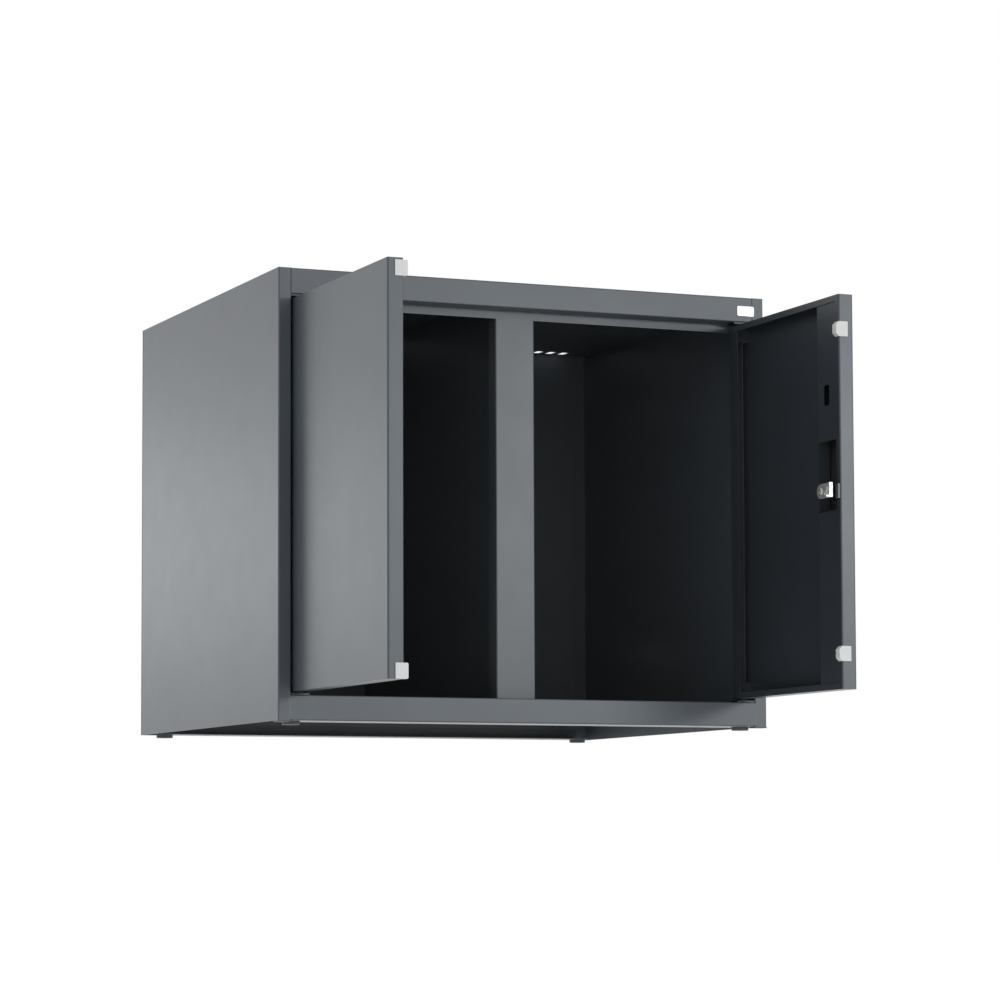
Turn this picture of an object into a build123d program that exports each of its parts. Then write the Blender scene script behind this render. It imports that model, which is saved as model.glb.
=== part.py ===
from build123d import *
import os

# Two-door sheet-steel top cabinet. The origin is the centre of the base bolt pattern, in the plane of
# the base flanges: +X is to the right, +Y runs from the doors to the back, +Z is up. All sizes in mm.
# Both doors stand open at a right angle, and the cam of the lock points past the door's free edge.

# Cabinet
width = 600
depth = 500
height = 500
gauge = 1.0  # sheet thickness
bend = 1.5  # outer radius of a fold in the cabinet
stile = 15  # width of the side panel's front edge
rear_flange = 15
top_rail_height = 29
top_rail_flange = 15
base_height = 28
base_flange = 46
rear_base_flange = 40
fold_height = 15  # turned-down edge of the floor and upright of the rear base rail
floor_gap = 0.5  # on either side of the floor
recess = 25  # from the front plane back to the door stop
stop_lip = 9.5  # height of the stop below the top rail
side_stop = 15
post_left = -29.5
post_right = 18.5
post_return = 20
partition_flange = 15

# Vents in the top panel
vent_length = 20
vent_width = 10
vent_corner = 2
vent_pitch = 17.5
vent_count = 14
vent_outer = 262  # outermost vent centre from the middle of the cabinet
vent_inset = 17  # vent centre line from the back

# Holes
base_bolt_x = 225
base_bolt_y = 222
base_bolt_r = 3.5
wall_bolt_x = 200
wall_bolt_low = 120
wall_bolt_high = 420
wall_bolt_r = 4

# Doors
door_thickness = 18
door_bottom = 32
door_top = 466.5
door_bend = 2.0
hinge_gap = 3  # closed door to stile
seam = 18  # centre of the gap between the closed doors
seam_gap = 4
pin_inset = 8  # hinge axis behind the door's face and inside its edge
hinge_lip = 20
free_lip = 8
end_lip = 7
stiffener = 52
stiffener_foot = 14
stiffener_inset = 2.5

# Hinges
pin_r = 3.0
pin_clearance = 0.05
bush_r = 4.5
bush_flange_r = 6
bush_flange = 1
bush_length = 6
bracket = 2
bracket_length = 22
bracket_depth = 16
bracket_inset = 1.2
pin_reach = 7
pin_depth = 18
collar_r = 5
collar = 2
block_depth = 14
block_height = 16
block_chamfer = 1.2

# Lock
lock_inset = 18  # lock axis from the free edge
housing_r = 8.5
housing_flange_r = 11
housing_flange = 2.5
housing_chamfer = 0.8
housing_length = 26
nut_r = 11
nut = 4
plug_r = 6
plug_clearance = 0.05
plug_face = 3.2  # face of the plug in front of the door
cam_plane = 31  # front of the cam behind the door's face
cam = 2
cam_width = 16
cam_reach = 24
cam_tab = 2.2
cam_ledge = 12  # length of the ledge along the cam's lower edge
cam_ledge_depth = 6
cam_ledge_thickness = 2
cam_rib = 1.5
cam_rib_inset = 8.5  # from the cam's end
cam_rib_height = 12
cam_rib_top = 1  # depth of the rib at its top
cam_hole_r = 2.5
guard_width = 6
guard_height = 16
guard = 2.5
keyway = 2
keyway_length = 8
keyway_depth = 3
screw_head_r = 3.5
screw_head = 1.2
lock_window_low = 229
lock_window_high = 307
lock_window_inset = 9  # from the free edge
grip_slot_inset = 31
grip_slot_z = 358
grip_slot_length = 23
grip_slot_width = 13
grip_slot_corner = 3
strike_height = 50
strike_width = 15
strike = 1.0
strike_hole_pitch = 36
strike_hole_r = 1.6
cam_slot_depth = 13
cam_slot_clearance = 3  # above and below the sweep of the cam

# Small parts
foot_r = 10
foot_height = 4
foot_inset = 23
foot_chamfer = 0.8
cap = 1.5
buffer_skin = 1.5
buffer_hold = 7
plate_length = 22
plate_height = 12
plate = 0.8
plate_inset = 23  # plate centre from the cabinet's side
plate_z = 484
plate_corner = 2
plate_chamfer = 0.3

# Derived places
half = width / 2
front = -depth / 2
back = depth / 2
stop_y = front + recess
sheet_back = back - gauge  # inner face of the back panel
rail_x = half - stile
rail_bottom = height - top_rail_height
stop_top = rail_bottom - stop_lip
partition_x = (post_left + post_right - gauge) / 2
face_x = half - stile - hinge_gap  # outer face of an open door
inner_x = face_x - door_thickness
hinge_x = face_x - pin_inset
hinge_y = front + pin_inset
hinge_edge = front + 2 * pin_inset
door_middle = (door_bottom + door_top) / 2
sides = {"left": -1, "right": 1}
door_width = {side: face_x + sign * (-seam) - seam_gap / 2 for side, sign in sides.items()}
free_edge = {side: hinge_edge - door_width[side] for side in sides}
lock_y = free_edge["right"] + lock_inset
lock_z = door_middle

# Buffers: height, distance of the low one from the door's bottom and of the high one from its top,
# where they begin and end across the door's thickness, and the chamfer of their tips
buffer_size = {"left": (16.4, 0.3, 2.5, 8.2, 22.1, 1.0), "right": (16.5, 30.5, 30.5, 7.5, 22, 3.5)}


def inward(sign):
    """The side of a section's path on which its sheet lies, on the left and the right of the cabinet."""
    return Side.LEFT if sign < 0 else Side.RIGHT


def folded(plane, length, points, side, radius=bend):
    """Folded sheet: its outer face follows the points in the plane, and it runs along the plane's normal."""
    with BuildPart() as fold:
        with BuildSketch(plane):
            with BuildLine():
                FilletPolyline(*points, radius=radius)
                offset(amount=gauge, side=side)
            make_face()
        extrude(amount=length)
    return fold.part


def block(low, high, mode=Mode.ADD):
    """A rectangular block between two opposite corners, added to or cut from the part being built."""
    centre = tuple((a + b) / 2 for a, b in zip(low, high))
    size = [abs(b - a) for a, b in zip(low, high)]
    with Locations(centre):
        Box(*size, mode=mode)


def save(part, name):
    """Label a finished piece and write it."""
    part.label = name
    export_step(part, f"parts/{name}.step")


os.makedirs("parts", exist_ok=True)

# Side panels: outer skin, rear flange, front stile and its return to the door stop
for side, sign in sides.items():
    skin = folded(
        Plane.XY,
        height,
        [
            (sign * (half - rear_flange), sheet_back),
            (sign * half, sheet_back),
            (sign * half, front),
            (sign * rail_x, front),
            (sign * rail_x, stop_y),
        ],
        inward(sign),
    )
    with BuildPart() as side_panel:
        add(skin)
        block(
            (sign * (half - gauge), front + gauge, height - gauge),
            (sign * (rail_x - gauge), sheet_back, height),
            mode=Mode.SUBTRACT,
        )
    save(side_panel.part, f"side_panel_{side}")

# Top panel, notched round the top rail, with a row of vents over each compartment
with BuildPart() as top_panel:
    block((-half + gauge, front + gauge, height - gauge), (half - gauge, sheet_back, height))
    block((-rail_x, front, height - gauge), (rail_x, front + top_rail_flange, height), mode=Mode.SUBTRACT)
    with BuildSketch(Plane.XY.offset(height - gauge)):
        for sign in sides.values():
            middle = sign * (vent_outer - (vent_count - 1) * vent_pitch / 2)
            with Locations((middle, back - vent_inset)):
                with GridLocations(vent_pitch, vent_length, vent_count, 1):
                    RectangleRounded(vent_width, vent_length, vent_corner)
    extrude(amount=gauge, mode=Mode.SUBTRACT)
save(top_panel.part, "top_panel")

# Rails along the front: each has a hole for the hinge bush at either end
rail_plane = Plane.YZ.offset(-rail_x)
top_fold = folded(
    rail_plane,
    2 * rail_x,
    [(front + top_rail_flange, height), (front, height), (front, rail_bottom), (stop_y, rail_bottom)],
    Side.LEFT,
)
base_fold = folded(
    rail_plane,
    2 * rail_x,
    [
        (stop_y, base_height),
        (front, base_height),
        (front, 0),
        (front + base_flange, 0),
        (front + base_flange, fold_height),
    ],
    Side.LEFT,
)

with BuildPart() as top_rail:
    add(top_fold)
    with Locations((0, hinge_y, rail_bottom)):
        with GridLocations(2 * hinge_x, 1, 2, 1):
            Cylinder(bush_r, 2 * bracket + gauge, mode=Mode.SUBTRACT)
save(top_rail.part, "top_rail")

with BuildPart() as bottom_rail:
    add(base_fold)
    with Locations((0, hinge_y, base_height)):
        with GridLocations(2 * hinge_x, 1, 2, 1):
            Cylinder(bush_r, 2 * bracket + gauge, mode=Mode.SUBTRACT)
    with Locations((0, -base_bolt_y, 0)):
        with GridLocations(2 * base_bolt_x, 1, 2, 1):
            Cylinder(base_bolt_r, 4 * gauge, mode=Mode.SUBTRACT)
save(bottom_rail.part, "bottom_rail")

# Welds, ground flush, in the grooves between the stiles and the ends of the bottom rail
with BuildPart() as corner_welds:
    for sign in sides.values():
        with BuildSketch(Plane.XY.offset(bend)):
            with BuildLine():
                corner = (sign * rail_x, front)
                tip = (sign * (rail_x + bend), front)
                root = (sign * rail_x, front + bend)
                Line(tip, corner)
                Line(corner, root)
                RadiusArc(root, tip, -sign * bend)
            make_face()
        extrude(amount=base_height - 2 * bend)
save(corner_welds.part, "corner_welds")

# Rear base rail under the floor
rear_fold = folded(
    rail_plane,
    2 * rail_x,
    [(sheet_back, fold_height), (sheet_back, 0), (sheet_back - rear_base_flange, 0)],
    Side.RIGHT,
)
with BuildPart() as rear_base_rail:
    add(rear_fold)
    with Locations((0, base_bolt_y, 0)):
        with GridLocations(2 * base_bolt_x, 1, 2, 1):
            Cylinder(base_bolt_r, 4 * gauge, mode=Mode.SUBTRACT)
save(rear_base_rail.part, "rear_base_rail")

# Floor with turned-down front and rear edges
floor_back = sheet_back - gauge
floor_fold = folded(
    Plane.YZ.offset(-half + gauge + floor_gap),
    width - 2 * (gauge + floor_gap),
    [
        (stop_y, base_height - fold_height + bend),
        (stop_y, base_height),
        (floor_back, base_height),
        (floor_back, base_height - fold_height + bend),
    ],
    Side.RIGHT,
)
save(floor_fold, "floor_panel")

# Back panel with four holes for wall bolts
with BuildPart() as back_panel:
    block((-half, sheet_back, 0), (half, back, height))
    with BuildSketch(Plane.XZ.offset(-sheet_back)):
        with Locations((0, (wall_bolt_low + wall_bolt_high) / 2)):
            with GridLocations(2 * wall_bolt_x, wall_bolt_high - wall_bolt_low, 2, 2):
                Circle(wall_bolt_r)
    extrude(amount=-gauge, mode=Mode.SUBTRACT)
save(back_panel.part, "back_panel")

# Partition between the compartments, fixed to the back panel by its flange
partition_fold = folded(
    Plane.XY.offset(base_height),
    height - gauge - base_height,
    [
        (partition_x + partition_flange, sheet_back),
        (partition_x, sheet_back),
        (partition_x, stop_y + gauge),
    ],
    Side.LEFT,
)
save(partition_fold, "partition")

# Door stop round the opening
with BuildPart() as stop_frame:
    block((-rail_x - gauge, stop_y, base_height), (rail_x + gauge, stop_y + gauge, rail_bottom + gauge))
    block(
        (-rail_x + side_stop, stop_y, base_height),
        (rail_x - side_stop, stop_y + gauge, stop_top),
        mode=Mode.SUBTRACT,
    )
save(stop_frame.part, "stop_frame")

# Centre post: the return on its right side is slotted for the cam
post_fold = folded(
    Plane.XY.offset(base_height),
    stop_top - base_height,
    [
        (post_left, stop_y + post_return),
        (post_left, stop_y),
        (post_right, stop_y),
        (post_right, stop_y + post_return),
    ],
    Side.LEFT,
)
slot_half = cam_reach + cam_slot_clearance
with BuildPart() as centre_post:
    add(post_fold)
    block(
        (post_right - 2 * gauge, stop_y + 2 * gauge, lock_z - slot_half),
        (post_right + gauge, stop_y + 2 * gauge + cam_slot_depth, lock_z + slot_half),
        mode=Mode.SUBTRACT,
    )
save(centre_post.part, "centre_post")

# Wear plate behind the post, where the cam bears
with BuildPart() as strike_plate:
    with BuildSketch(Plane.XZ.offset(-stop_y - gauge)):
        with Locations((post_right - 2 * gauge - strike_width / 2, lock_z)):
            Rectangle(strike_width, strike_height)
            with GridLocations(1, strike_hole_pitch, 1, 2):
                Circle(strike_hole_r, mode=Mode.SUBTRACT)
    extrude(amount=-strike)
save(strike_plate.part, "strike_plate")

# Hinge brackets and bushes: one of each above and below either door
with BuildPart() as hinge_brackets:
    for sign in sides.values():
        for low in (base_height, rail_bottom - bracket):
            block(
                (sign * rail_x, front + bracket_inset, low),
                (sign * (rail_x - bracket_length), front + bracket_inset + bracket_depth, low + bracket),
            )
            with Locations((sign * hinge_x, hinge_y, low)):
                Cylinder(bush_r, 4 * bracket, mode=Mode.SUBTRACT)
save(hinge_brackets.part, "hinge_brackets")

with BuildPart() as hinge_bushes:
    for sign in sides.values():
        for face, up in ((base_height + bracket, 1), (rail_bottom - bracket, -1)):
            with Locations((sign * hinge_x, hinge_y, face + up * bush_flange / 2)):
                Cylinder(bush_flange_r, bush_flange)
            with Locations((sign * hinge_x, hinge_y, face - up * (bush_length / 2 - bush_flange / 2))):
                Cylinder(bush_r, bush_length - bush_flange)
            with Locations((sign * hinge_x, hinge_y, face)):
                Cylinder(pin_r + pin_clearance, 4 * bush_length, mode=Mode.SUBTRACT)
save(hinge_bushes.part, "hinge_bushes")

# Feet and the caps that close the front stiles from below
with BuildPart() as feet:
    with BuildSketch(Plane.XY.offset(-foot_height)):
        with GridLocations(width - 2 * foot_inset, depth - 2 * foot_inset, 2, 2):
            Circle(foot_r)
    extrude(amount=foot_height)
    chamfer(feet.edges().group_by(Axis.Z)[0], length=foot_chamfer)
save(feet.part, "feet")

with BuildPart() as corner_caps:
    for sign in sides.values():
        block((sign * rail_x, front, -cap), (sign * half, front + stile, 0))
save(corner_caps.part, "corner_caps")

# Blank plate on the top rail
with BuildPart() as name_plate:
    with BuildSketch(Plane.XZ.offset(-front)):
        with Locations((half - plate_inset, plate_z)):
            RectangleRounded(plate_length, plate_height, plate_corner)
    extrude(amount=plate)
    chamfer(name_plate.faces().sort_by(Axis.Y)[0].edges(), length=plate_chamfer)
save(name_plate.part, "name_plate")

# Doors
for side, sign in sides.items():
    free = free_edge[side]
    pan_fold = folded(
        Plane.XY.offset(door_bottom),
        door_top - door_bottom,
        [
            (sign * inner_x, hinge_edge - hinge_lip),
            (sign * inner_x, hinge_edge),
            (sign * face_x, hinge_edge),
            (sign * face_x, free),
            (sign * inner_x, free),
            (sign * inner_x, free + free_lip),
        ],
        inward(sign),
        radius=door_bend,
    )
    ends = ((door_bottom, 1), (door_top, -1))

    # Outer pan: face, four edges and the narrow lips turned in behind them
    with BuildPart() as pan:
        add(pan_fold)
        for end, into in ends:
            block(
                (sign * (face_x - gauge), free + gauge, end),
                (sign * (inner_x + gauge), hinge_edge - gauge, end + into * gauge),
            )
            block(
                (sign * inner_x, free + free_lip, end),
                (sign * (inner_x + gauge), hinge_edge - hinge_lip, end + into * end_lip),
            )
            with Locations((sign * hinge_x, hinge_y, end)):
                Cylinder(pin_r, 4 * gauge, mode=Mode.SUBTRACT)
        if side == "right":
            with Locations(Location((sign * face_x, lock_y, lock_z), (0, 90, 0))):
                Cylinder(housing_r, 4 * gauge, mode=Mode.SUBTRACT)
    save(pan.part, f"{side}_door_pan")

    # Stiffener along the free edge: foot on the skin, web, and a face behind the lips
    stiff_fold = folded(
        Plane.XY.offset(door_bottom + gauge),
        door_top - door_bottom - 2 * gauge,
        [
            (sign * (face_x - gauge), free + stiffener + stiffener_foot),
            (sign * (face_x - gauge), free + stiffener),
            (sign * (inner_x + 2 * gauge), free + stiffener),
            (sign * (inner_x + 2 * gauge), free + stiffener_inset),
        ],
        inward(sign),
    )
    with BuildPart() as stiff:
        add(stiff_fold)
        if side == "right":
            block(
                (sign * (inner_x - gauge), free + lock_window_inset, lock_window_low),
                (sign * (inner_x + 3 * gauge), free + stiffener, lock_window_high),
                mode=Mode.SUBTRACT,
            )
            with BuildSketch(Plane.YZ.offset(sign * (inner_x + 3 * gauge))):
                with Locations((free + grip_slot_inset, grip_slot_z)):
                    RectangleRounded(grip_slot_width, grip_slot_length, grip_slot_corner)
            extrude(amount=-sign * 3 * gauge, mode=Mode.SUBTRACT)
    save(stiff.part, f"{side}_door_stiffener")

    # Hinge pins with their collars, and the blocks that hold them in the door's corners
    with BuildPart() as pins:
        for end, into in ends:
            middle = end + into * (pin_depth - pin_reach) / 2
            with Locations((sign * hinge_x, hinge_y, middle)):
                Cylinder(pin_r, pin_depth + pin_reach)
            with Locations((sign * hinge_x, hinge_y, end + into * (gauge + collar / 2))):
                Cylinder(collar_r, collar)
    save(pins.part, f"{side}_hinge_pins")

    with BuildPart() as blocks:
        for end, into in ends:
            start = end + into * (gauge + collar)
            block(
                (sign * (face_x - gauge), hinge_edge - gauge - block_depth, start),
                (sign * (inner_x + gauge), hinge_edge - gauge, start + into * block_height),
            )
            with Locations((sign * hinge_x, hinge_y, start)):
                Cylinder(pin_r, 4 * block_height, mode=Mode.SUBTRACT)
        upright = blocks.edges().filter_by(Axis.Z).filter_by(GeomType.LINE)
        chamfer(upright.group_by(Axis.Y)[-1], length=block_chamfer)
    save(blocks.part, f"{side}_hinge_blocks")

    # Buffers clipped over the free edge
    tall, lift, drop, begin, reach, bevel = buffer_size[side]
    with BuildPart() as buffers:
        for low in (door_bottom + lift, door_top - drop - tall):
            block(
                (sign * (face_x - begin), free - buffer_skin, low),
                (sign * (face_x - reach), free, low + tall),
            )
            block(
                (sign * inner_x, free, low),
                (sign * (face_x - reach), free + buffer_hold, low + tall),
            )
        tip = buffers.edges().filter_by(Axis.Y).group_by(Axis.X)[0 if sign > 0 else -1]
        chamfer(tip, length=bevel)
    save(buffers.part, f"{side}_door_buffers")

# Cylinder lock in the right door. The lock's own plane looks from the door's face into the cabinet.
lock_plane = Plane(origin=(face_x, lock_y, lock_z), x_dir=(0, 1, 0), z_dir=(-1, 0, 0))

with BuildPart() as lock_housing:
    with BuildSketch(lock_plane.offset(-housing_flange)):
        Circle(housing_flange_r)
    extrude(amount=housing_flange)
    with BuildSketch(lock_plane):
        Circle(housing_r)
    extrude(amount=housing_length)
    with BuildSketch(lock_plane.offset(-housing_flange)):
        Circle(plug_r + plug_clearance)
    extrude(amount=housing_flange + housing_length, mode=Mode.SUBTRACT)
    chamfer(lock_housing.faces().sort_by(Axis.X)[-1].edges().sort_by(SortBy.RADIUS)[-1], length=housing_chamfer)
save(lock_housing.part, "lock_housing")

with BuildPart() as lock_nut:
    with BuildSketch(lock_plane.offset(gauge)):
        RegularPolygon(nut_r, 6)
        Circle(housing_r, mode=Mode.SUBTRACT)
    extrude(amount=nut)
save(lock_nut.part, "lock_nut")

# Lug on the lip of the free edge, beside the end of the cam
with BuildPart() as lock_guard:
    block(
        (inner_x - guard, free_edge["right"] + door_bend / 2, lock_z - guard_height / 2),
        (inner_x, free_edge["right"] + door_bend / 2 + guard_width, lock_z + guard_height / 2),
    )
    chamfer(lock_guard.faces().sort_by(Axis.X)[0].edges(), length=plate_chamfer)
save(lock_guard.part, "lock_guard")

# Turning parts of the lock: plug with its keyway, cam and screw
with BuildPart() as lock_plug:
    with BuildSketch(lock_plane.offset(-plug_face)):
        Circle(plug_r)
    extrude(amount=plug_face + cam_plane)
    with BuildSketch(lock_plane.offset(-plug_face)):
        Rectangle(keyway, keyway_length)
    extrude(amount=keyway_depth, mode=Mode.SUBTRACT)
    with BuildSketch(lock_plane.offset(cam_plane)):
        Circle(cam_hole_r)
    extrude(amount=cam)
save(lock_plug.part, "lock_plug")

# Cam: a plate with an end tab, a ledge along its lower edge and a rib that tapers upwards
cam_face = face_x - cam_plane - cam
cam_bottom = lock_z - cam_width / 2
rib_y = lock_y - cam_reach + cam_rib_inset
with BuildPart() as lock_cam:
    with BuildSketch(lock_plane.offset(cam_plane)):
        Circle(cam_width / 2)
        with Locations((-cam_reach / 2, 0)):
            Rectangle(cam_reach, cam_width)
        Circle(cam_hole_r, mode=Mode.SUBTRACT)
    extrude(amount=cam)
    with BuildSketch(lock_plane.offset(cam_plane + cam)):
        with Locations((cam / 2 - cam_reach, 0)):
            Rectangle(cam, cam_width)
    extrude(amount=cam_tab)
    with BuildSketch(lock_plane.offset(cam_plane + cam)):
        with Locations((cam_ledge / 2 - cam_reach, (cam_width - cam_ledge_thickness) / 2)):
            Rectangle(cam_ledge, cam_ledge_thickness)
    extrude(amount=cam_ledge_depth)
    with BuildSketch(Plane.XZ.offset(-rib_y)):
        with BuildLine():
            Polyline(
                (cam_face, cam_bottom),
                (cam_face - cam_ledge_depth, cam_bottom),
                (cam_face - cam_rib_top, cam_bottom + cam_rib_height),
                (cam_face, cam_bottom + cam_rib_height),
                close=True,
            )
        make_face()
    extrude(amount=cam_rib)
save(lock_cam.part, "lock_cam")

with BuildPart() as cam_screw:
    with BuildSketch(lock_plane.offset(cam_plane + cam)):
        Circle(screw_head_r)
        SlotOverall(screw_head_r, 1, mode=Mode.SUBTRACT)
    extrude(amount=screw_head)
save(cam_screw.part, "cam_screw")
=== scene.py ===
import math

import bpy
from mathutils import Matrix, Vector


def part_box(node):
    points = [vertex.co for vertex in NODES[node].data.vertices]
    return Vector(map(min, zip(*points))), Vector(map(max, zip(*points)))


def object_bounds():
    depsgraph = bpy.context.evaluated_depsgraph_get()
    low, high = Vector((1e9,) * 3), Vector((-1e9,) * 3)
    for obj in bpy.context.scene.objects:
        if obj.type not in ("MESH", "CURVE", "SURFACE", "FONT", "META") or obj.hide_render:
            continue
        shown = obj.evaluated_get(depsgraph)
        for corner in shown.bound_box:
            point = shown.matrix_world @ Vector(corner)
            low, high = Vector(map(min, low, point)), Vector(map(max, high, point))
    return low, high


# A two-door sheet-steel cabinet, seen from slightly below with both doors open. The CAD nodes carry
# their final shapes, so this script gives them their materials and sets the camera, the lights and
# the floor. Everything is in metres.

# Paint, as linear colours
GRAPHITE = (0.049, 0.059, 0.069)
# The graphite paint made lighter inside the cabinet: painted light
INNER_PAINTED_LIGHT = (0.065, 0.075, 0.085)  # inside the cabinet
# The graphite paint made darker on the doors' inner sides: painted shade
DOOR_PAINTED_SHADE = (0.025, 0.030, 0.036)  # inner side of the doors
# Painted shade: near black in the closed channels behind the doors' stiffeners
CHANNEL_PAINTED_SHADE = (0.012, 0.012, 0.011)  # behind the doors' stiffeners
BLACK = (0.005, 0.005, 0.006)  # hinge brackets

# Metals and plastics: linear colour and roughness
ZINC = ((0.56, 0.57, 0.58), 0.34)
NICKEL = ((0.66, 0.66, 0.65), 0.24)
CAM_ZINC = ((0.74, 0.74, 0.73), 0.48)
BLACK_ZINC = ((0.050, 0.050, 0.052), 0.42)
SATIN_ALUMINIUM = ((0.66, 0.67, 0.68), 0.42)
WHITE_PLASTIC = ((0.50, 0.51, 0.52), 0.45)
BLACK_NYLON = ((0.012, 0.012, 0.013), 0.5)
GREY_PLASTIC = ((0.045, 0.050, 0.055), 0.5)
WORN_METAL = (0.95, 0.95, 0.95)  # on the edges of plated parts
WHITE = (1.0, 1.0, 1.0, 1.0)

# Noise scales, per metre: a larger number is a finer pattern
CLOUD = 9.0  # slow change of tone across a painted sheet
SMUDGE = 26.0  # change of the paint's roughness
WEAR = 55.0  # breaks up the worn edges
PEEL = 420.0  # orange peel of the powder coat
FLECK = 1400.0  # grains of the powder coat
STAIN = 120.0  # faint stains on metal
METAL_SHEEN = 300.0
METAL_GRAIN = 2600.0
YELLOWING = 60.0  # of plastic
PLASTIC_SHEEN = 500.0
PLASTIC_GRAIN = 3000.0
FLOOR_TONE = 0.6

# Lengths in metres
SHEET = 0.001  # gauge of the folded sheets
PAINT_EDGE = 0.0008  # reach of edge wear
METAL_EDGE = 0.0003
PLASTIC_EDGE = 0.0005
PEEL_HEIGHT = 0.00006
GRAIN_HEIGHT = 0.00002

# Camera: the eye is below the cabinet, which stands above it as on a locker
EYE = Vector((-1.5594, -3.7851, -0.1468))
PAN = math.radians(22.480)  # to the right of straight ahead
TILT = math.radians(4.240)
ROLL = math.radians(-0.140)
LENS = 123.64
SENSOR = 36.0
SHIFT = (0.05, 0.10)
VIEW_END = 60.0

FLOOR_DROP = 0.45  # floor below the feet
FLOOR_SIZE = 60.0
FLOOR_GLOW = 0.12  # keeps the floor as pale as the background

# Lamps: place, size in metres and power in watts. Both shine on the cabinet's centre.
FRONT_LAMP = ((1.7, -3.7, 0.65), (1.4, 0.4), 27.5)
REAR_LAMP = ((-1.5, 3.3, 0.53), (1.6, 0.5), 3.2)
LAMP_COLOUR = (0.94, 0.98, 1.0)

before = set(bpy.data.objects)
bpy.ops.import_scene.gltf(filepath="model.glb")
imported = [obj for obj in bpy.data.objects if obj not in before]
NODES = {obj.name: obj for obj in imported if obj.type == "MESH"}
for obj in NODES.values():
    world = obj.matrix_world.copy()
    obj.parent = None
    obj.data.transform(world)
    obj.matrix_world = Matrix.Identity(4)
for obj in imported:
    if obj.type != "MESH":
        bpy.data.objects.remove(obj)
cad_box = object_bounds()


# Shader helpers

class Material:
    """A node material: makes nodes, links them and keeps the principled shader at hand."""

    def __init__(self, name):
        self.material = bpy.data.materials.new(name)
        self.material.use_nodes = True
        self.tree = self.material.node_tree
        self.shader = next(n for n in self.tree.nodes if n.type == "BSDF_PRINCIPLED")

    def node(self, kind, **settings):
        """A new node with its properties and unlinked inputs set."""
        made = self.tree.nodes.new(kind)
        for key, value in settings.items():
            if key in made.inputs:
                made.inputs[key].default_value = value
            else:
                setattr(made, key, value)
        return made

    def link(self, source, target):
        self.tree.links.new(source, target)

    def coordinate(self):
        """The piece's own coordinates: the row frame in metres, moving with the body."""
        return self.node("ShaderNodeTexCoord").outputs["Object"]

    def noise(self, scale, detail=3.0, roughness=0.5):
        made = self.node("ShaderNodeTexNoise", Scale=scale, Detail=detail, Roughness=roughness)
        self.link(self.coordinate(), made.inputs["Vector"])
        return made.outputs["Fac"]

    def maths(self, operation, first, second=0.0, clamp=False):
        made = self.node("ShaderNodeMath", operation=operation, use_clamp=clamp)
        for socket, value in zip(made.inputs, (first, second)):
            if isinstance(value, (int, float)):
                socket.default_value = value
            else:
                self.link(value, socket)
        return made.outputs[0]

    def remap(self, value, low, high, out_low, out_high):
        made = self.node("ShaderNodeMapRange")
        self.link(value, made.inputs["Value"])
        for key, number in (
            ("From Min", low),
            ("From Max", high),
            ("To Min", out_low),
            ("To Max", out_high),
        ):
            made.inputs[key].default_value = number
        return made.outputs["Result"]

    def mix(self, factor, first, second):
        """A colour between two, each of them a colour or a socket."""
        made = self.node("ShaderNodeMix", data_type="RGBA")
        self.link(factor, made.inputs["Factor"])
        sockets = [s for s in made.inputs if s.type == "RGBA"]
        for socket, colour in zip(sockets, (first, second)):
            if isinstance(colour, tuple):
                socket.default_value = (*colour, 1.0)
            else:
                self.link(colour, socket)
        return next(s for s in made.outputs if s.type == "RGBA")

    def bump(self, height, distance, strength=1.0):
        made = self.node("ShaderNodeBump", Distance=distance, Strength=strength)
        self.link(height, made.inputs["Height"])
        self.link(made.outputs["Normal"], self.shader.inputs["Normal"])

    def edges(self, radius):
        """1 on convex edges and corners, 0 on flat faces, from the bevelled normal."""
        bevel = self.node("ShaderNodeBevel", Radius=radius, samples=4)
        flat = self.node("ShaderNodeNewGeometry")
        dot = self.node("ShaderNodeVectorMath", operation="DOT_PRODUCT")
        self.link(bevel.outputs["Normal"], dot.inputs[0])
        self.link(flat.outputs["Normal"], dot.inputs[1])
        return self.remap(dot.outputs["Value"], 1.0, 0.93, 0.0, 1.0)


def scaled(colour, factor):
    return tuple(channel * factor for channel in colour)


def inside_mask(paint, axis, edge, above):
    """1 where the piece's coordinate along an axis is past an edge, else 0."""
    split = paint.node("ShaderNodeSeparateXYZ")
    paint.link(paint.coordinate(), split.inputs[0])
    return paint.maths("GREATER_THAN" if above else "LESS_THAN", split.outputs[axis], edge)


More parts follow.
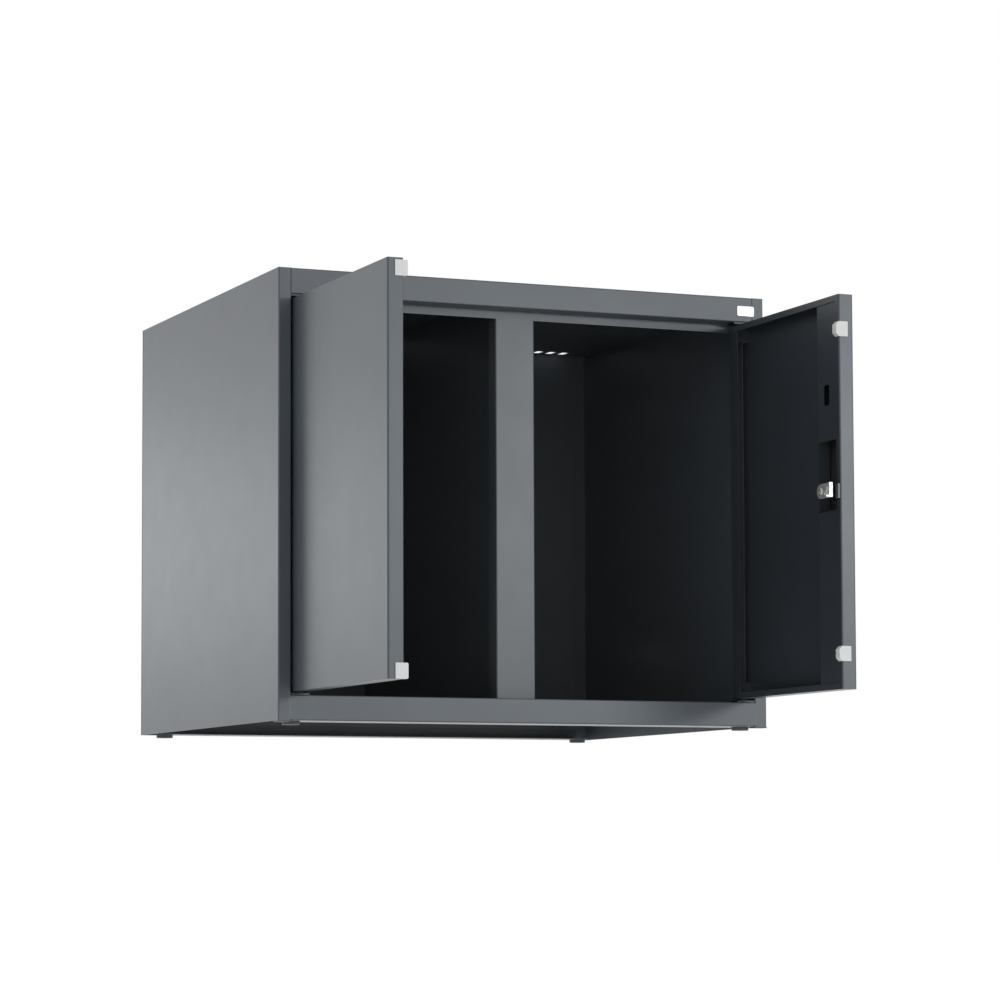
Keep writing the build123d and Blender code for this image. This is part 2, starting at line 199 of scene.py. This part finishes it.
def powder_coat(name, colour, *light_and_shade_tones):
    """Satin powder coat with orange peel, cloudy tone and worn edges. Each extra tone is a colour and
    its masks (axis, edge, above), and covers the tones before it where all of its masks hold; these
    tones are the same paint made lighter or darker, as painted light and painted shade."""
    paint = Material(name)
    cloud = paint.remap(paint.noise(CLOUD, 4.0), 0.3, 0.7, 0.0, 1.0)
    fleck = paint.remap(paint.noise(FLECK, 2.0), 0.3, 0.7, 0.0, 1.0)
    tone = paint.mix(cloud, scaled(colour, 0.94), scaled(colour, 1.05))
    tone = paint.mix(paint.maths("MULTIPLY", fleck, 0.16), tone, scaled(colour, 1.35))
    edges = paint.edges(PAINT_EDGE)
    wear = paint.maths("MULTIPLY", edges, paint.remap(paint.noise(WEAR, 5.0), 0.42, 0.70, 0.10, 0.75))
    tone = paint.mix(wear, tone, scaled(colour, 2.1))
    # Painted light and shade: lighter or darker tones of the same paint over the masked faces
    for inner, masks in light_and_shade_tones:
        hidden = 1.0
        for axis, edge, above in masks:
            hidden = paint.maths("MULTIPLY", inside_mask(paint, axis, edge, above), hidden)
        coat = paint.mix(cloud, scaled(inner, 0.93), scaled(inner, 1.08))
        coat = paint.mix(paint.maths("MULTIPLY", fleck, 0.20), coat, scaled(inner, 1.5))
        tone = paint.mix(hidden, tone, coat)
    paint.link(tone, paint.shader.inputs["Base Color"])
    smudge = paint.noise(SMUDGE, 5.0, 0.6)
    paint.link(paint.remap(smudge, 0.25, 0.75, 0.32, 0.35), paint.shader.inputs["Roughness"])
    paint.shader.inputs["Specular IOR Level"].default_value = 0.5
    peel = paint.maths("ADD", paint.noise(PEEL, 2.0), paint.maths("MULTIPLY", fleck, 0.25))
    paint.bump(peel, PEEL_HEIGHT, 0.55)
    return paint.material


def plated_steel(name, colour, roughness, brushed=0.0):
    """Bare or plated metal: fine grain, faint stains, and brighter worn edges."""
    metal = Material(name)
    stain = metal.remap(metal.noise(STAIN, 5.0), 0.35, 0.7, 0.0, 1.0)
    tone = metal.mix(stain, colour, scaled(colour, 0.82))
    tone = metal.mix(metal.maths("MULTIPLY", metal.edges(METAL_EDGE), 0.6), tone, WORN_METAL)
    metal.link(tone, metal.shader.inputs["Base Color"])
    metal.shader.inputs["Metallic"].default_value = 1.0
    metal.link(
        metal.remap(metal.noise(METAL_SHEEN, 4.0), 0.3, 0.7, roughness * 0.8, roughness * 1.3),
        metal.shader.inputs["Roughness"],
    )
    metal.shader.inputs["Anisotropic"].default_value = brushed
    metal.bump(metal.noise(METAL_GRAIN, 2.0), GRAIN_HEIGHT, 0.4)
    return metal.material


def moulded_plastic(name, colour, roughness):
    """Injection-moulded plastic: spark-eroded grain, slight yellowing and scuffed edges."""
    plastic = Material(name)
    cloud = plastic.remap(plastic.noise(YELLOWING, 4.0), 0.3, 0.7, 0.0, 1.0)
    warm = (colour[0] * 0.97, colour[1] * 0.955, colour[2] * 0.93)
    tone = plastic.mix(cloud, colour, warm)
    scuff = plastic.maths("MULTIPLY", plastic.edges(PLASTIC_EDGE), 0.35)
    tone = plastic.mix(scuff, tone, tuple(min(1.0, c * 1.25 + 0.02) for c in colour))
    plastic.link(tone, plastic.shader.inputs["Base Color"])
    plastic.link(
        plastic.remap(plastic.noise(PLASTIC_SHEEN, 3.0), 0.3, 0.7, roughness * 0.9, roughness * 1.15),
        plastic.shader.inputs["Roughness"],
    )
    plastic.bump(plastic.noise(PLASTIC_GRAIN, 2.0), GRAIN_HEIGHT, 0.5)
    return plastic.material


# Materials on the CAD nodes

def dress(node, material):
    """Gives a CAD node its material."""
    piece = NODES[node]
    piece.data.materials.clear()
    piece.data.materials.append(material)


def side_panels():
    """Graphite outside; behind the door stop and inside the skin a lighter tone of the same paint, as
    painted light.
    """
    for node, above in (("side_panel_left", True), ("side_panel_right", False)):
        low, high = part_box(node)
        skin = low.x + SHEET / 2 if above else high.x - SHEET / 2
        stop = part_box("stop_frame")[0].y + SHEET / 2
        masks = (("X", skin, above), ("Y", stop, True))
        dress(node, powder_coat(node, GRAPHITE, (INNER_PAINTED_LIGHT, masks)))


def cabinet_sheets():
    """Sheets with one visible outer side: at the middle of the sheet the graphite changes to a lighter
    tone of the same paint inside, as painted light.
    """
    top, back, stop = (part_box(n) for n in ("top_panel", "back_panel", "stop_frame"))
    behind_stop = stop[0].y + SHEET / 2
    for node, mask in (
        ("top_panel", ("Z", top[1].z - SHEET / 2, False)),
        ("back_panel", ("Y", back[1].y - SHEET / 2, False)),
        ("stop_frame", ("Y", behind_stop, True)),
        ("centre_post", ("Y", behind_stop, True)),
    ):
        dress(node, powder_coat(node, GRAPHITE, (INNER_PAINTED_LIGHT, (mask,))))
    outside = powder_coat("outer_paint", GRAPHITE)
    for node in ("top_rail", "bottom_rail", "corner_welds", "rear_base_rail"):
        dress(node, outside)
    # Floor and partition wholly in the lighter inside tone of the graphite: painted light
    inside = powder_coat("inner_paint", INNER_PAINTED_LIGHT)
    for node in ("floor_panel", "partition"):
        dress(node, inside)


def doors():
    """Graphite face and edges; the side that faces the cabinet when shut has a darker tone of the same
    paint, as painted shade.
    """
    for side, outer_is_low in (("left", True), ("right", False)):
        low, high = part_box(f"{side}_door_pan")
        skin = low.x + SHEET / 2 if outer_is_low else high.x - SHEET / 2
        masks = (
            ("X", skin, outer_is_low),
            ("Y", low.y + SHEET / 2, True),
            ("Y", high.y - SHEET / 2, False),
        )
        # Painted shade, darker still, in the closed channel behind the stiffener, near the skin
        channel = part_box(f"{side}_door_stiffener")[1].y
        near_skin = low.x + 3 * SHEET if outer_is_low else high.x - 3 * SHEET
        behind = (*masks, ("Y", channel, False), ("X", near_skin, not outer_is_low))
        door_shades = ((DOOR_PAINTED_SHADE, masks), (CHANNEL_PAINTED_SHADE, behind))
        dress(f"{side}_door_pan", powder_coat(f"{side}_door_pan", GRAPHITE, *door_shades))
    # Stiffeners and hinge blocks wholly in the darker inner tone of the graphite: painted shade
    inner = powder_coat("door_inner_painted_shade", DOOR_PAINTED_SHADE)
    for side in ("left", "right"):
        dress(f"{side}_door_stiffener", inner)
        dress(f"{side}_hinge_blocks", inner)
    dress("lock_guard", powder_coat("lock_guard", GRAPHITE))


def hardware():
    """Hinges, lock, name plate, feet and small plastic parts."""
    zinc = plated_steel("zinc_plate", *ZINC)
    nickel = plated_steel("nickel_plate", *NICKEL)
    cam = plated_steel("cam_zinc", *CAM_ZINC)
    dark = plated_steel("black_zinc", *BLACK_ZINC)
    satin = plated_steel("satin_aluminium", *SATIN_ALUMINIUM, brushed=0.5)
    white = moulded_plastic("white_plastic", *WHITE_PLASTIC)
    nylon = moulded_plastic("black_nylon", *BLACK_NYLON)
    grey = moulded_plastic("grey_plastic", *GREY_PLASTIC)
    for side in ("left", "right"):
        dress(f"{side}_hinge_pins", dark)
        dress(f"{side}_door_buffers", white)
    for node, material in (
        ("strike_plate", zinc),
        ("hinge_brackets", powder_coat("black_paint", BLACK)),
        ("hinge_bushes", nylon),
        ("feet", grey),
        ("corner_caps", grey),
        ("name_plate", satin),
        ("lock_nut", dark),
        ("lock_plug", nickel),
        ("lock_cam", cam),
        ("cam_screw", cam),
    ):
        dress(node, material)

    # The lock's housing is bright outside the door and dark behind its skin
    dress("lock_housing", nickel)
    flange_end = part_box("right_door_pan")[1].x
    NODES["lock_housing"].data.materials.append(dark)
    for face in NODES["lock_housing"].data.polygons:
        if face.center.x < flange_end:
            face.material_index = 1


# Camera, lights and stage

def camera():
    """The fitted camera: pan and tilt from straight ahead (+Y), then roll about its own axis."""
    view = bpy.data.cameras.new("camera")
    view.lens = LENS
    view.sensor_width = SENSOR
    view.shift_x, view.shift_y = SHIFT
    view.clip_end = VIEW_END
    eye = bpy.data.objects.new("camera", view)
    eye.location = EYE
    ahead = Vector((math.sin(PAN) * math.cos(TILT), math.cos(PAN) * math.cos(TILT), math.sin(TILT)))
    turn = ahead.to_track_quat("-Z", "Y").to_matrix().to_4x4()
    roll = Matrix.Rotation(ROLL, 4, "Z")
    eye.matrix_world = Matrix.Translation(EYE) @ turn @ roll
    bpy.context.scene.collection.objects.link(eye)
    bpy.context.scene.camera = eye


def soft_light(name, place, size, power):
    """A rectangular area lamp that shines on the cabinet's centre and isn't itself in the picture."""
    lamp = bpy.data.lights.new(name, "AREA")
    lamp.shape = "RECTANGLE"
    lamp.size, lamp.size_y = size
    lamp.energy = power
    lamp.color = LAMP_COLOUR
    holder = bpy.data.objects.new(name, lamp)
    holder.location = place
    aim = (cad_box[0] + cad_box[1]) / 2 - Vector(place)
    holder.rotation_euler = aim.to_track_quat("-Z", "Y").to_euler()
    holder.visible_camera = False
    bpy.context.scene.collection.objects.link(holder)


def studio():
    """Even pale surroundings, a pale floor, and a lamp in front on the right and behind on the left."""
    world = bpy.data.worlds.new("studio")
    world.use_nodes = True
    sky = world.node_tree.nodes["Background"]
    sky.inputs["Color"].default_value = WHITE
    sky.inputs["Strength"].default_value = 1.0
    bpy.context.scene.world = world

    floor_z = cad_box[0].z - FLOOR_DROP
    bpy.ops.mesh.primitive_plane_add(size=FLOOR_SIZE, location=(0.0, 0.0, floor_z))
    floor = bpy.context.active_object
    floor.name = "floor"
    pale = Material("pale_floor")
    tone = pale.remap(pale.noise(FLOOR_TONE, 3.0), 0.3, 0.7, 0.0, 1.0)
    tone = pale.mix(tone, (0.90, 0.90, 0.90), (0.93, 0.93, 0.93))
    pale.link(tone, pale.shader.inputs["Base Color"])
    pale.shader.inputs["Roughness"].default_value = 0.8
    pale.shader.inputs["Emission Color"].default_value = WHITE
    pale.shader.inputs["Emission Strength"].default_value = FLOOR_GLOW
    floor.data.materials.append(pale.material)
    soft_light("front_lamp", *FRONT_LAMP)
    soft_light("rear_lamp", *REAR_LAMP)


bpy.context.scene.view_settings.view_transform = "Standard"
camera()
studio()
side_panels()
cabinet_sheets()
doors()
hardware()
